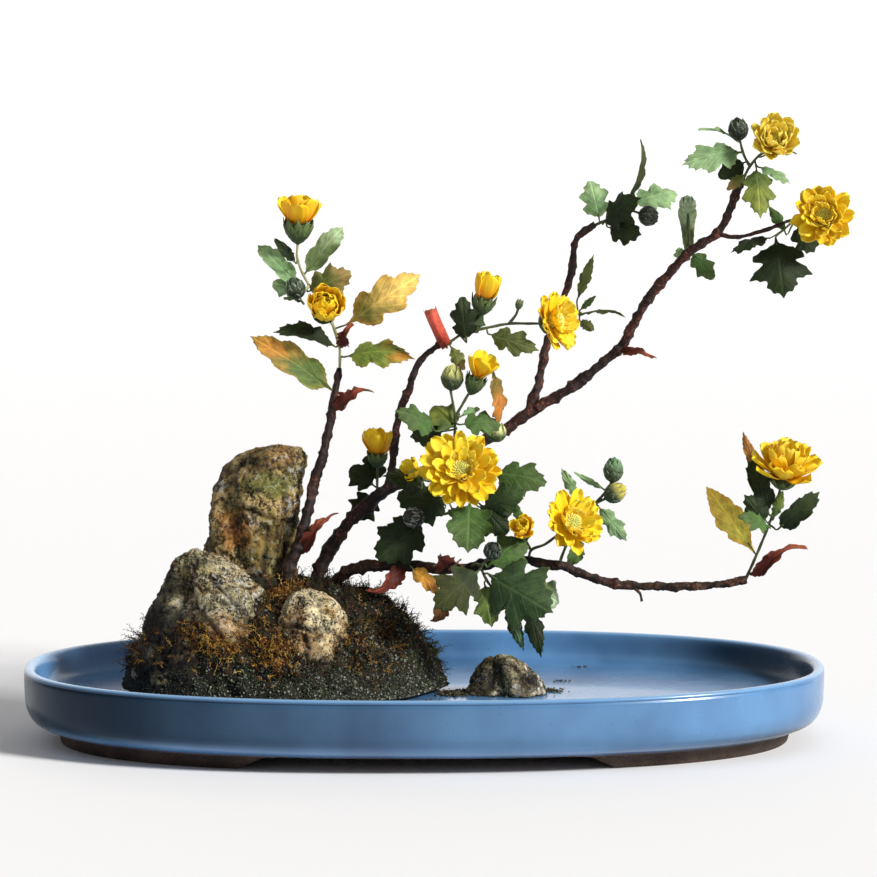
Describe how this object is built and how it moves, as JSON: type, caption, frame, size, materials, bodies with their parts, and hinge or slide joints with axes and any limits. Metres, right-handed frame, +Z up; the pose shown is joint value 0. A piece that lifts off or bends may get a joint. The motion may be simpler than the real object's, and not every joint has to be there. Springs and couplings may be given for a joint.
{
  "type": "chrysanthemum bonsai",
  "caption": "Small yellow-flowered chrysanthemum bonsai with bare twisting branches, on a mossy mound with weathered stones in a shallow blue oval tray.",
  "frame": {"origin": "middle of the whole object's box, at the underside of the tray's foot", "axes": "+X along the tray towards the end that the branches reach over, +Y away from the front, +Z up"},
  "size_m": [0.3504, 0.208, 0.2664],
  "materials": {
    "glaze": "satin",
    "stone": "matte",
    "soil": "matte",
    "bark": "matte",
    "husk": "matte",
    "petal": "matte",
    "leaf_green": "matte",
    "leaf_gold": "matte",
    "leaf_rust": "matte",
    "leaf_lemon": "matte"
  },
  "bodies": {
    "root": {"tray": "glaze", "stone_pillar": "stone", "stone_left": "stone", "stone_right": "stone", "pebble": "stone", "stem_left": "bark", "stem_main": "bark", "stem_low": "bark", "soil_mound": "soil", "bloom_top_left": "petal", "bloom_left": "petal", "bloom_high": "petal", "bloom_heart": "petal", "bloom_side": "petal", "bloom_head": "petal", "bloom_tip": "petal", "bloom_back": "petal", "bloom_front": "petal", "bloom_hidden": "petal", "bloom_right": "petal", "bloom_small": "petal", "bloom_end": "petal", "spray_left": "leaf_green", "leaf_gold": "leaf_gold", "leaf_rust": "leaf_rust", "spray_high": "leaf_green", "leaf_brown": "leaf_rust", "spray_wing": "leaf_green", "spray_back": "leaf_green", "bud_middle": "leaf_green", "spray_front": "leaf_green", "spray_low": "leaf_green", "spray_pair": "leaf_green", "leaf_amber": "leaf_rust", "leaf_umber": "leaf_rust", "spray_right": "leaf_green", "spray_head": "leaf_green", "spray_tip": "leaf_green", "spray_fork": "leaf_green", "spray_roll": "leaf_green", "spray_sprig": "leaf_green", "leaf_lemon": "leaf_lemon", "spray_end": "leaf_green", "husk_left": "husk", "husk_top": "husk", "husk_high": "husk", "husk_main": "husk", "husk_end": "husk", "husk_low": "husk", "husk_knot": "husk", "husk_base": "husk"}
  },
  "joints": []
}
